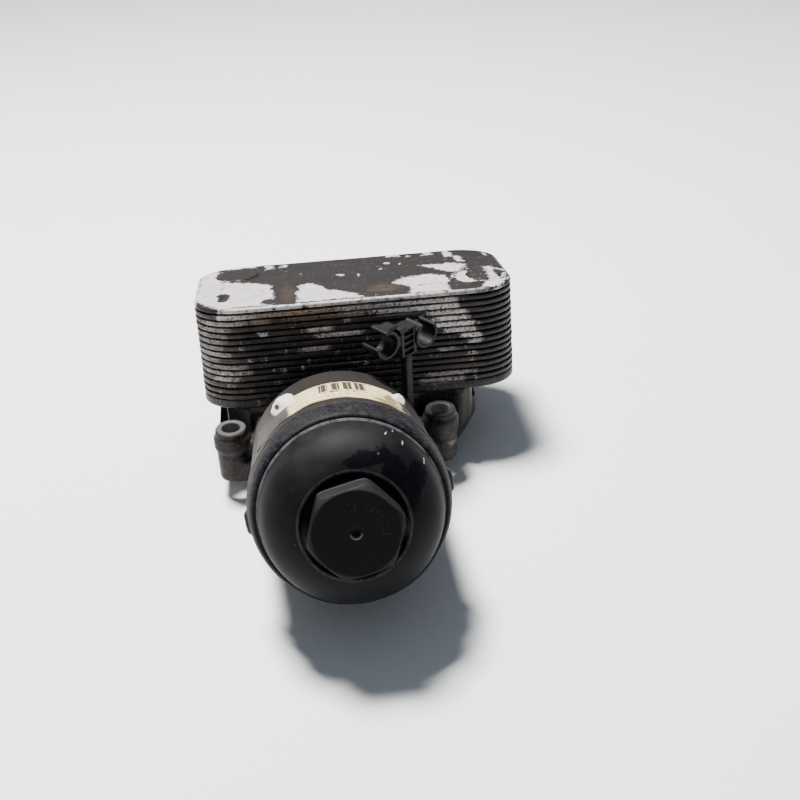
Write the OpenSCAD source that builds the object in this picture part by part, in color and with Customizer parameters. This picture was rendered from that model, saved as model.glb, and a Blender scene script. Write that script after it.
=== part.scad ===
// Oil filter module: mounting flange, filter bowl with screw cap and cartridge,
// and a plate type oil cooler on a leaning pad.
// Frame: +Z up, z = 0 is the engine block face, the origin is the centre of the
// four bolt holes, -Y points to the filter cap. The bolt bosses end at the underside
// of the plate, above the foot. Millimetres.

/* [Mounting flange] */
// Hole spacing across the flange
bolt_x = 94; // [90:1:98]
// Hole spacing along the flange
bolt_y = 100; // [98:1:104]
// Bore of the compression sleeves
bolt_hole_d = 8.4; // [8.2:0.1:9]
// Height of the bolt bosses
boss_h = 34.3; // [32:0.1:36]
// Height of the foot under the flange plate
foot_h = 9.5; // [9:0.5:10]
// Thickness of the flange plate
flange_t = 10; // [9:0.5:11]

/* [Filter bowl] */
// Upward tilt of the bowl axis above the block face
bowl_tilt = 19; // [18:0.5:20]
// Outer radius of the bowl body
bowl_r = 38.2; // [37.8:0.1:38.6]
// Outer radius of the bowl rim
rim_r = 38.9; // [38.6:0.1:39.4]
// Depth of the filter chamber below the rim
chamber_depth = 46; // [42:1:46]

/* [Filter cap] */
// Width across the flats of the cap hexagon
hex_af = 32; // [30:0.5:32]
// Turn of the hexagon about the bowl axis
hex_turn = 13; // [0:0.5:60]
// Distance from the rim to the front of the hexagon
hex_front = 39; // [36:0.5:41]

/* [Oil cooler] */
// Length of the plate pack
cooler_w = 144; // [140:1:148]
// Depth of the plate pack
cooler_d = 76; // [74:1:78]
// Corner radius of the plates
cooler_r = 20; // [16:1:24]
// Number of core plates
plate_n = 14; // [10:1:14]
// Pitch of the core plates
plate_pitch = 2.86; // [2.8:0.02:3.2]
// Backward lean of the cooler pad
cooler_lean = 10; // [8:0.5:11]

/* [Cartridge] */
// Outer radius of the pleated paper
pleat_r = 29; // [27:0.5:29]
// Number of pleats
pleat_n = 48; // [36:2:56]

/* [Hidden] */
$fn = 96;
e = 0.01;

// bowl frame: local +Z runs out of the bowl mouth, z = 0 is the rim face
ring_y = -136.5;
ring_z = 49.2;
sB = sin(bowl_tilt);
cB = cos(bowl_tilt);
function bowl_pt(x, y, z) = [x, ring_y - z * cB + y * sB, ring_z + z * sB + y * cB];
module bowl_frame() translate([0, ring_y, ring_z]) rotate([90 - bowl_tilt, 0, 0]) children();

// cooler frame: local z = 0 is the pad face, local y = 0 the front edge
cool_x = 13.5;
cool_y = -42;
cool_z = 38.4;
sC = sin(cooler_lean);
cC = cos(cooler_lean);
function cool_pt(x, y, z) = [cool_x + x, cool_y + y * cC + z * sC, cool_z - y * sC + z * cC];
module cooler_frame() translate([cool_x, cool_y, cool_z]) rotate([-cooler_lean, 0, 0]) children();

base_t = 4;
top_t = 2.2;
pack_h = base_t + plate_n * plate_pitch;
split_y = -58;
clip_turn = 36;
clip_x = 31.2;
sleeve_r = 6.1;
plate_top = foot_h + flange_t;
hole_r = bolt_hole_d / 2;

// ports: cooler side positions in the cooler frame
port_r = 7;
ports = [[-38, 18], [30, 18], [-38, 58], [30, 58]];
screws = [[-14, 11], [5, 11], [-20, 48], [12, 48]];
// raised round marks on the top plate
marks = [[-53.5, 59.5], [58.5, 25]];
function port_xy(i) = let (p = cool_pt(ports[i][0], ports[i][1], 0)) [p[0], p[1]];
out_y = -79;
drain_pt = bowl_pt(0, -24, -54);

// 2-D rounded rectangle, front left corner at the origin of y, centred in x
module rrect(w, d, r) {
    translate([-w / 2 + r, 0]) square([w - 2 * r, d]);
    translate([-w / 2, r]) square([w, d - 2 * r]);
    for (x = [-w / 2 + r, w / 2 - r]) for (y = [r, d - r]) translate([x, y]) circle(r);
}
// a straight bore between two points
module bore(a, b, r) {
    v = b - a;
    l = norm(v);
    translate(a) rotate([0, acos(v[2] / l), atan2(v[1], v[0])]) cylinder(r = r, h = l);
}
module strip(a, b, w) {
    v = b - a;
    translate(a) rotate([0, 0, atan2(v[1], v[0])]) translate([0, -w / 2]) square([norm(v), w]);
}
module tube(ro, ri, h) difference() {
    cylinder(r = ro, h = h);
    translate([0, 0, -1]) cylinder(r = ri, h = h + 2);
}

module bolt_places() for (x = [-bolt_x / 2, bolt_x / 2]) for (y = [-bolt_y / 2, bolt_y / 2])
    translate([x, y, 0]) children();

// everything behind or in front of the weld face between bowl and flange
module behind(z0 = -1, z1 = 120) translate([-120, split_y, z0]) cube([240, 200, z1 - z0]);
module bowl_end() bowl_frame() translate([0, 0, -87]) rotate_extrude() {
    translate([0, 26]) square([bowl_r, 61]);
    intersection() {
        union() { square([bowl_r - 26, 27]); translate([bowl_r - 26, 26]) circle(26); }
        square([bowl_r, 53]);
    }
}
module bowl_stem(r) bowl_frame() translate([0, 0, -104]) cylinder(r = r, h = 104);
// the space of the cooler, with a little room in front of it
module cooler_space(gap) cooler_frame() translate([-90, -gap, 0]) cube([180, 120, 90]);

// ---------- gasket ----------
module gasket_2d(g) {
    difference() {
        union() {
            translate([0, -84.4]) circle(14.8 + 1.3 + g);
            for (i = [1, 2, 3]) translate(port_xy(i)) circle(11.3 + g);
        }
        translate([0, -84.4]) circle(14.8 - 1.3 - g);
        for (i = [1, 2, 3]) translate(port_xy(i)) circle(8.9 - g);
    }
    translate([-13.8, -88.1 - 0.8 - g]) square([27.6, 1.6 + 2 * g]);
    strip([-6, -71], port_xy(2) + [1.7, -9.9], 2.2 + 2 * g);
    strip([6, -71], port_xy(1) + [-7.6, -6.8], 2.2 + 2 * g);
    strip(port_xy(1) + [0, 10], port_xy(3) + [0, -10], 2.2 + 2 * g);
    strip(port_xy(2) + [10, 0], port_xy(3) + [-10, 0], 2.2 + 2 * g);
}
module flange_gasket() color("darkgreen") linear_extrude(2) gasket_2d(0);
module gasket_groove() translate([0, 0, -1]) linear_extrude(3) gasket_2d(0.1);

// ---------- flange plate with the four bosses, standing on a narrower foot ----------
module flange_outline() {
    polygon([[-38, split_y], [38, split_y], [46, -57], [52, -54.5], [56.2, -40.2], [61.9, -30.5], [69, -16], [69, 14],
        [63, 27], [54, 52], [46, 57], [-46, 57], [-54, 52], [-54, -50], [-46, -57]]);
    for (x = [-bolt_x / 2, bolt_x / 2]) for (y = [-bolt_y / 2, bolt_y / 2]) translate([x, y]) circle(7.3);
}
module foot_outline() {
    polygon([[-38, split_y], [38, split_y], [44, -37.5], [53, -34.5], [56.5, -24], [56.5, 16], [50, 28], [-36, 28], [-42, 20], [-42, -30], [-38, -38]]);
    for (i = [1, 2, 3]) translate(port_xy(i)) circle(12.6);
}
module flange_base() color([0.13, 0.13, 0.14]) difference() {
    union() {
        linear_extrude(plate_top) intersection() {
            foot_outline();
            translate([-120, split_y]) square([240, 200]);
        }
        translate([0, 0, foot_h]) linear_extrude(flange_t) intersection() {
            flange_outline();
            translate([-120, split_y]) square([240, 200]);
        }
        // bosses: a slim body, a collar and a neck round the sleeve
        bolt_places() {
            translate([0, 0, foot_h]) cylinder(r1 = 7.2, r2 = 7.5, h = 15.2);
            translate([0, 0, 24.2]) cylinder(r1 = 7.5, r2 = 8.3, h = 0.8);
            translate([0, 0, 25]) cylinder(r = 8.3, h = 5.2);
            translate([0, 0, 30.2]) cylinder(r1 = 8.3, r2 = 7.2, h = 1);
            translate([0, 0, 31.2]) cylinder(r = 7.2, h = boss_h - 31.2 - 0.5);
        }
        // webs beside the rear bosses
        for (x = [-50.5, 43.5]) translate([x, 33, foot_h]) cube([7, 12, 17]);
    }
    bolt_places() translate([0, 0, -1]) cylinder(r = sleeve_r, h = boss_h + 2);
    for (i = [1, 2, 3]) translate([port_xy(i)[0], port_xy(i)[1], -1]) cylinder(r = port_r, h = plate_top + 2);
    gasket_groove();
    screw_holes();
    // coring pockets of the moulding
    for (p = [[-36, -28, 16, 22], [2, -24, 26, 14], [-8, 19.5, 34, 5]])
        translate([p[0], p[1], -1]) cube([p[2], p[3], 13]);
    for (x = [-40, 10]) translate([x, 32, foot_h - 1]) cube([28, 18, 7]);
}

// ---------- leaning pad under the cooler, with the rear part of the bowl stem ----------
module pad_outline() polygon([[-47, -43.5], [58, -43.5], [63, -38], [66, -24], [67, 16], [60, 27], [-44, 27], [-48.5, 20], [-48.5, -40]]);
module cooler_pad() color([0.13, 0.13, 0.14]) difference() {
    union() {
        difference() {
            translate([0, 0, plate_top]) linear_extrude(40) pad_outline();
            cooler_frame() translate([-90, -20, -1.2]) cube([180, 20, 60]);
            // scallops around the bolt bosses
            bolt_places() translate([0, 0, plate_top + 1]) cylinder(r = 11, h = 60);
        }
        // rear end of the bowl, rounded above, running down into the flange
        intersection() { bowl_stem(bowl_r); behind(plate_top, 34); }
        intersection() { bowl_end(); behind(plate_top); }
        // sloping webs from the stem to the front bosses
        for (s = [0, 1]) mirror([s, 0, 0]) translate([0, -45, 0]) rotate([90, 0, 0])
            linear_extrude(9) polygon([[-45, plate_top], [-45, 25.5], [-34, 29.5], [-28, 29.5], [-28, plate_top]]);
        // post that carries the line clip
        translate([clip_x, -52, 20]) rotate([0, 0, clip_turn]) {
            translate([-0.6, -2.1, 0]) cube([4.2, 4.2, 44]);
            translate([-0.3, -1.2, 0]) cube([3.6, 2.4, 54]);
        }
    }
    // boss clearance and the cooler space
    bolt_places() translate([0, 0, plate_top - 1]) cylinder(r = 8.4, h = boss_h);
    cooler_space(1.2);
    // vertical ducts to the cooler ports
    for (i = [1, 2, 3]) translate([port_xy(i)[0], port_xy(i)[1], 0]) cylinder(r = port_r, h = 60);
    translate([port_xy(0)[0], port_xy(0)[1], 20.8]) cylinder(r = 6, h = 40);
    // duct from the cooler to the filter chamber
    bore(bowl_pt(-18, 9, -70), bowl_pt(-18, 9, -100), 4.5);
    bore(bowl_pt(-18, 9, -99), [port_xy(0)[0], port_xy(0)[1], 26], 4.5);
    seal_grooves();
    screw_holes();
}

// ---------- bowl ----------
module filter_bowl() color([0.30, 0.28, 0.26]) difference() {
    union() {
        intersection() {
            bowl_stem(bowl_r);
            translate([-60, -220, 0]) cube([120, 220 + split_y, 140]);
        }
        bowl_frame() {
            translate([0, 0, -7]) cylinder(r = rim_r, h = 7);
            translate([0, 0, -8]) cylinder(r1 = bowl_r, r2 = rim_r, h = 1);
            // index lugs on the rim
            for (a = [6, 187]) rotate([0, 0, a]) translate([38, -4, -5]) cube([2.2, 8, 4]);
        }
    }
    bowl_frame() {
        translate([0, 0, -chamber_depth]) cylinder(r = 33, h = 60);
        translate([0, 0, -20]) cylinder(r = 35.5, h = 30);
        // clean oil duct below the standpipe
        translate([0, 0, -66]) cylinder(r = 6.5, h = 30);
        translate([0, 0, -chamber_depth - 5]) cylinder(r = 9, h = 10);
        // dirty oil duct from the cooler
        translate([-18, 9, -100]) cylinder(r = 4.5, h = 60);
        // drain bore
        translate([0, -24, -58]) cylinder(r = 3.5, h = 22);
    }
    translate([0, out_y, -1]) cylinder(r = port_r, h = 30.5);
    translate([0, out_y, 25]) cylinder(r = 7.6, h = 6);
    translate([0, drain_pt[1], -1]) cylinder(r = 3, h = 7);
    gasket_groove();
}
module bowl_threads() bowl_frame() for (z = [-18.4, -14.4, -10.4]) translate([0, 0, z])
    rotate_extrude() polygon([[35.5 + 0.3, -1.2], [34.9, -0.4], [34.9, 0.4], [35.5 + 0.3, 1.2]]);
module bowl_mouth() bowl_frame() difference() {
    translate([0, 0, -7.4]) cylinder(r = 35.9, h = 7.0);
    translate([0, 0, -8]) cylinder(r = 35.0, h = 9);
}
module filter_bowl_all() color([0.30, 0.28, 0.26]) union() {
    filter_bowl();
    bowl_threads();
    bowl_mouth();
}

// ---------- fasteners, seals ----------
module bolt_sleeves() color("silver") bolt_places() translate([0, 0, foot_h]) difference() {
    cylinder(r = sleeve_r, h = boss_h - foot_h);
    translate([0, 0, -1]) cylinder(r = hole_r, h = boss_h);
}
module seal_grooves() cooler_frame() for (p = ports) translate([p[0], p[1], -2.2])
    difference() { cylinder(r = 10.2, h = 3); translate([0, 0, -1]) cylinder(r = 7.9, h = 5); }
module cooler_seal_rings() color("darkgreen") cooler_frame() for (p = ports) translate([p[0], p[1], -2.15])
    tube(10.1, 8.0, 2.15);
module screw_holes() cooler_frame() for (p = screws) translate([p[0], p[1], 0]) {
    translate([0, 0, -60]) cylinder(r = 3.3, h = 61);
    translate([0, 0, -60]) cylinder(r = 6, h = 60 - 16);
}
module cooler_screws() color("gray") cooler_frame() for (p = screws) translate([p[0], p[1], 0]) difference() {
    union() {
        translate([0, 0, -16]) cylinder(r = 3, h = 16 + 3.2);
        translate([0, 0, -20]) cylinder(r = 5, h = 4);
    }
    translate([0, 0, -21]) cylinder(r = 2.6, h = 3.4, $fn = 6);
}

// ---------- oil cooler ----------
module port_holes(h, r = 6.2) for (p = ports) translate([p[0], p[1], -1]) cylinder(r = r, h = h);
module cooler_base_plate() color([0.62, 0.60, 0.58]) cooler_frame() difference() {
    linear_extrude(base_t) rrect(cooler_w, cooler_d, cooler_r);
    port_holes(10, 7.6);
    for (p = screws) translate([p[0], p[1], -1]) cylinder(r = 3, h = 4.2);
}
module core_plate() difference() {
    linear_extrude(2.0) rrect(cooler_w, cooler_d, cooler_r);
    translate([0, 1.6, 0.7]) linear_extrude(3) rrect(cooler_w - 3.2, cooler_d - 3.2, cooler_r - 1.6);
    port_holes(10);
}
module cooler_core_plates() color([0.62, 0.60, 0.58]) cooler_frame()
    for (i = [0:plate_n - 1]) translate([0, 0, base_t + i * plate_pitch]) core_plate();
module fin_sheet() linear_extrude(plate_pitch - 0.7) difference() {
    union() {
        difference() {
            translate([0, 2.4]) rrect(cooler_w - 4.8, cooler_d - 4.8, cooler_r - 2.4);
            translate([0, 4.4]) rrect(cooler_w - 8.8, cooler_d - 8.8, cooler_r - 4.4);
        }
        intersection() {
            translate([0, 3]) rrect(cooler_w - 6, cooler_d - 6, cooler_r - 3);
            for (k = [0:9]) translate([-cooler_w / 2 + 3.6, 9.5 + k * 6.2]) square([cooler_w - 7.2, 1.4]);
        }
        for (p = ports) translate(p) circle(8.2);
    }
    for (p = ports) translate(p) circle(6.2);
}
module cooler_fin_sheets() color([0.7, 0.69, 0.66]) cooler_frame()
    for (i = [0:plate_n - 1]) translate([0, 0, base_t + i * plate_pitch + 0.7]) fin_sheet();
module cooler_top_plate() color([0.62, 0.60, 0.58]) cooler_frame() translate([0, 0, pack_h]) union() {
    linear_extrude(1.5) rrect(cooler_w, cooler_d, cooler_r);
    translate([0, 0.7, 1.5]) linear_extrude(top_t - 1.5) rrect(cooler_w - 1.4, cooler_d - 1.4, cooler_r - 0.7);
    for (p = marks) translate([p[0], p[1], top_t - 0.5]) cylinder(r1 = 10.4, r2 = 9.8, h = 1.0);
}

// ---------- standpipe, bypass valve, check disc ----------
module standpipe() color([0.16, 0.16, 0.17]) bowl_frame() difference() {
    translate([0, 0, -chamber_depth - 5]) cylinder(r = 9, h = chamber_depth + 5 + 19);
    translate([0, 0, -chamber_depth - 6]) cylinder(r = 6.5, h = chamber_depth + 6 + 16);
    translate([0, 0, 10]) cylinder(r = 4.2, h = 12);
    // clean oil windows
    for (a = [0, 90]) rotate([0, 0, a]) translate([-12, -2.2, -34]) cube([24, 4.4, 26]);
}
module bypass_disc() color("dimgray") bowl_frame() {
    translate([0, 0, 14.3]) cylinder(r = 6.1, h = 1.6);
    translate([0, 0, 4.5]) cylinder(r = 1.6, h = 10);
}
spring_turns = 5;
spring_seg = 14;
function coil(i, r, p) = let (a = 360 * i / spring_seg) [r * cos(a), r * sin(a), p * i / spring_seg];
module bypass_spring() color("silver") bowl_frame() translate([0, 0, 0.9])
    coil_wire(4.7, 0.5, (13.9 - 2.0) / spring_turns, spring_turns * spring_seg);
// swept wire of a coil spring, 8 sides
module coil_wire(r, w, p, n) {
    sides = 8;
    pts = [for (i = [0:n]) let (c = coil(i, r, p), a = 360 * i / spring_seg)
        for (k = [0:sides - 1]) let (b = 360 * k / sides)
            [c[0] + w * cos(b) * cos(a), c[1] + w * cos(b) * sin(a), c[2] + w * sin(b)]];
    faces = concat(
        [[for (k = [0:sides - 1]) k]],
        [for (i = [0:n - 1]) for (k = [0:sides - 1]) let (k2 = (k + 1) % sides)
            [i * sides + k, (i + 1) * sides + k, (i + 1) * sides + k2, i * sides + k2]],
        [[for (k = [sides - 1:-1:0]) n * sides + k]]);
    translate([0, 0, 0.6]) polyhedron(points = pts, faces = faces);
}
module bypass_retainer() color("silver") bowl_frame() translate([0, 0, -1]) difference() {
    cylinder(r = 6.45, h = 1.8);
    translate([0, 0, -1]) cylinder(r = 2.6, h = 4);
    for (a = [0, 120, 240]) rotate([0, 0, a]) translate([4.3, 0, -1]) cylinder(r = 1.1, h = 4);
}
module check_disc() color([0.08, 0.08, 0.08]) bowl_frame() translate([0, 0, -chamber_depth + 0.05]) difference() {
    cylinder(r = 26, h = 1.2);
    translate([0, 0, -1]) cylinder(r = 9.08, h = 4);
    translate([0, -24, -1]) cylinder(r = 5.2, h = 4);
}

// ---------- cap ----------
hex_r = hex_af / 2 / cos(30);
well_z = 24.2;
module hex_head() intersection() {
    rotate([0, 0, hex_turn]) translate([0, 0, well_z - 0.6]) cylinder(r = hex_r, h = hex_front - well_z + 0.6, $fn = 6);
    union() {
        translate([0, 0, well_z - 1]) cylinder(r = 25, h = hex_front - well_z + 1 - 2.0);
        translate([0, 0, hex_front - 2.0]) cylinder(r1 = 18.9, r2 = 15.6, h = 2.0);
    }
}
module filter_cap() color([0.10, 0.10, 0.11]) bowl_frame() difference() {
    union() {
        rotate_extrude() polygon([
            [31.2, -18], [33.4, -18], [33.8, -17.2], [33.8, -7.2], [34.6, -6.6], [34.6, -5.4], [31.9, -5.4],
            [31.9, -1.6], [34.6, -1.6], [34.6, 0.1], [38.2, 0.1], [38.5, 0.6], [38.4, 3.0], [37.9, 6.5],
            [37.0, 9.6], [36.2, 11.0], [34.9, 11.5], [34.6, 13.0], [34.1, 16.2], [33.1, 19.4], [31.5, 22.4],
            [29.4, 25.0], [26.8, 27.3], [24.0, 29.2], [21.6, 30.5], [20.2, 31.0], [19.5, 30.8], [19.1, 30.2],
            [18.9, well_z], [0, well_z], [0, 21.2], [22.2, 21.2], [22.2, 26.1], [23.6, 25.9], [25.6, 24.3],
            [28.2, 21.6], [30.0, 18.6], [30.9, 15], [31.2, 11]]);
        hex_head();
        for (z = [-15.6, -11.6]) translate([0, 0, z])
            rotate_extrude() polygon([[33.4, -1.2], [34.7, -0.4], [34.7, 0.4], [33.4, 1.2]]);
    }
    translate([0, 0, 15]) cylinder(r = 12, h = 20);
    translate([0, 0, hex_front - 2.6]) cylinder(r = 2, h = 4);
}
module cap_o_ring() color([0.05, 0.05, 0.05]) bowl_frame() translate([0, 0, -3.5])
    rotate_extrude() translate([33.45, 0]) circle(1.5, $fn = 32);

// ---------- cartridge ----------
element_lo = -42;
element_hi = 17;
module element_top_disc() color([0.2, 0.2, 0.21]) bowl_frame() translate([0, 0, element_hi - 2]) difference() {
    cylinder(r = 29.4, h = 2);
    translate([0, 0, -1]) cylinder(r = 11.5, h = 5);
}
module element_bottom_disc() color([0.2, 0.2, 0.21]) bowl_frame() translate([0, 0, element_lo]) difference() {
    cylinder(r = 29.4, h = 2);
    translate([0, 0, -1]) cylinder(r = 11.5, h = 5);
    translate([0, -24, -1]) cylinder(r = 3.0, h = 5);
}
function star(n, ro, ri) = [for (i = [0:2 * n - 1]) let (a = 180 * i / n, r = (i % 2 == 0) ? ro : ri)
    [r * cos(a), r * sin(a)]];
module element_pleats() color([0.85, 0.68, 0.38]) bowl_frame() translate([0, 0, element_lo + 2])
    linear_extrude(element_hi - element_lo - 4) difference() {
        polygon(star(pleat_n, pleat_r, 15.2));
        polygon(star(pleat_n, pleat_r - 2.6, 13.0));
    }
module element_core() color([0.2, 0.2, 0.21]) bowl_frame() translate([0, 0, element_lo + 2]) difference() {
    tube(12.9, 11.5, element_hi - element_lo - 4);
    for (z = [6:9:46]) for (a = [0:60:120]) rotate([0, 0, a]) translate([-20, 0, z + 1]) rotate([0, 90, 0])
        cylinder(r = 2.6, h = 40, $fn = 24);
}
module element_top_seal() color([0.05, 0.05, 0.05]) bowl_frame() translate([0, 0, element_hi - 2]) tube(11.5, 9.1, 2);
module element_bottom_seal() color([0.05, 0.05, 0.05]) bowl_frame() translate([0, 0, element_lo]) tube(11.5, 9.1, 2);
module drain_pin() color([0.2, 0.2, 0.21]) bowl_frame() translate([0, -24, 0]) difference() {
    union() {
        translate([0, 0, element_lo]) cylinder(r = 3.0, h = 2);
        translate([0, 0, -53]) cylinder(r = 3.3, h = 53 + element_lo);
        translate([0, 0, -54]) cylinder(r1 = 2.2, r2 = 3.3, h = 1);
    }
    translate([0, 0, -50.6]) tube(5, 2.4, 1.9);
}
module drain_pin_seal() color([0.05, 0.05, 0.05]) bowl_frame() translate([0, -24, -49.65])
    rotate_extrude() translate([2.42 + 0.5, 0]) circle(0.48, $fn = 24);

// ---------- line clip: a box socket with two C shaped holders ----------
clip_z = 69.5;
clip_ri = 4.9;
clip_ro = 6.4;
clip_l = [-12.6, 5.6];
clip_r = [9.8, 2.6];
module c_ring(ri, ro, open_a, half_gap) rotate([90, 0, 0]) translate([0, 0, -5]) difference() {
    cylinder(r = ro, h = 10);
    translate([0, 0, -1]) cylinder(r = ri, h = 12);
    rotate([0, 0, open_a]) translate([0, 0, -1]) linear_extrude(12)
        polygon([[0, 0], [16, -16 * tan(half_gap)], [16, 16 * tan(half_gap)]]);
}
module line_bore(p) translate([p[0], 6, clip_z + p[1]]) rotate([90, 0, 0]) cylinder(r = clip_ri, h = 12);
module line_clip() color([0.12, 0.12, 0.13]) translate([clip_x, -52, 0]) rotate([0, 0, clip_turn]) difference() {
    union() {
        translate([-4.3, -4, clip_z - 4.2]) cube([8.6, 8, 12.8]);
        translate([clip_l[0], 0, clip_z + clip_l[1]]) c_ring(clip_ri, clip_ro, 140, 38);
        translate([clip_r[0], 0, clip_z + clip_r[1]]) c_ring(clip_ri, clip_ro, 75, 38);
        // webs between the socket and the holders
        translate([-8.4, -3.6, clip_z + 1.6]) cube([5, 7.2, 5.4]);
        translate([3.4, -3.6, clip_z - 2.4]) cube([3.2, 7.2, 4.4]);
        // push tabs
        translate([-11.2, -3.2, clip_z + 10.4]) cube([5.4, 6.4, 1.6]);
        translate([-5.6, -4.6, clip_z + 8.2]) cube([4.2, 5.8, 1.9]);
    }
    line_bore(clip_l);
    line_bore(clip_r);
    // socket for the post
    translate([-0.35, -1.25, clip_z - 9]) cube([3.7, 2.5, 16]);
    // ladder windows in both broad faces
    for (k = [0:3]) for (s = [-5, 2.6]) translate([-2.6, s, clip_z - 3.4 + k * 3.1]) cube([5.2, 2.4, 2.1]);
}

// ---------- paper label on the bowl ----------
module bowl_label() color([0.9, 0.86, 0.7]) bowl_frame() translate([0, 0, -41]) rotate([0, 0, 47])
    rotate_extrude(angle = 101) translate([bowl_r, 0]) square([0.3, 32]);

flange_base();
cooler_pad();
filter_bowl_all();  // filter_bowl
bolt_sleeves();
flange_gasket();
standpipe();
bypass_disc();
bypass_spring();
bypass_retainer();
check_disc();
filter_cap();
cap_o_ring();
element_top_disc();
element_bottom_disc();
element_pleats();
element_core();
element_top_seal();
element_bottom_seal();
drain_pin();
drain_pin_seal();
cooler_base_plate();
cooler_core_plates();
cooler_fin_sheets();
cooler_top_plate();
cooler_seal_rings();
cooler_screws();
line_clip();
bowl_label();
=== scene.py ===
import bpy
import bmesh
import math
import random
from mathutils import Matrix, Vector, noise as mn


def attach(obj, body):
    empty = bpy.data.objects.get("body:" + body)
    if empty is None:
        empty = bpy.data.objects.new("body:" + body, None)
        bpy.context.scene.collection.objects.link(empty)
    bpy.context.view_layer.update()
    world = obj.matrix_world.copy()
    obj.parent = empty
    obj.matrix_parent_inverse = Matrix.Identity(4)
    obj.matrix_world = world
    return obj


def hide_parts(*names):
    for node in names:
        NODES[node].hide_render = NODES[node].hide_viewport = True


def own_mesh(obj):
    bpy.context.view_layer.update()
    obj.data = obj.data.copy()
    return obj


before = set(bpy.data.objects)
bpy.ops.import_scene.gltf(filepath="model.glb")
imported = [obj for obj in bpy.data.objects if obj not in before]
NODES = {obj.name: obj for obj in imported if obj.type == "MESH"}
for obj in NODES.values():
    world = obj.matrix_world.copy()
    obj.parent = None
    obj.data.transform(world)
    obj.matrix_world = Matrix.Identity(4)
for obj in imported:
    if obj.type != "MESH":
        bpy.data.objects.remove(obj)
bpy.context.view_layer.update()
rad = math.radians
TILT, LEAN = 19.0, 10.0
MB = Matrix.Translation((0, -0.1365, 0.0492)) @ Matrix.Rotation(rad(90 - TILT), 4, "X")
MC = Matrix.Translation((0.0135, -0.042, 0.0384)) @ Matrix.Rotation(rad(-LEAN), 4, "X")


# ------------------------------------------------------------------ shader helpers
class E:
    def __init__(self, g, sock):
        self.g, self.s = g, sock

    def __add__(self, o): return self.g.math("ADD", self, o)
    def __radd__(self, o): return self.g.math("ADD", o, self)
    def __sub__(self, o): return self.g.math("SUBTRACT", self, o)
    def __rsub__(self, o): return self.g.math("SUBTRACT", o, self)
    def __mul__(self, o): return self.g.math("MULTIPLY", self, o)
    def __rmul__(self, o): return self.g.math("MULTIPLY", o, self)
    def __truediv__(self, o): return self.g.math("DIVIDE", self, o)


def hull2(pts):
    """convex outline of points, counter-clockwise."""
    p = sorted(set(pts))

    def half(seq):
        out = []
        for q in seq:
            while len(out) > 1 and (out[-1][0] - out[-2][0]) * (q[1] - out[-2][1]) - (out[-1][1] - out[-2][1]) * (q[0] - out[-2][0]) <= 0:
                out.pop()
            out.append(q)
        return out[:-1]
    return half(p) + half(p[::-1])


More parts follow.
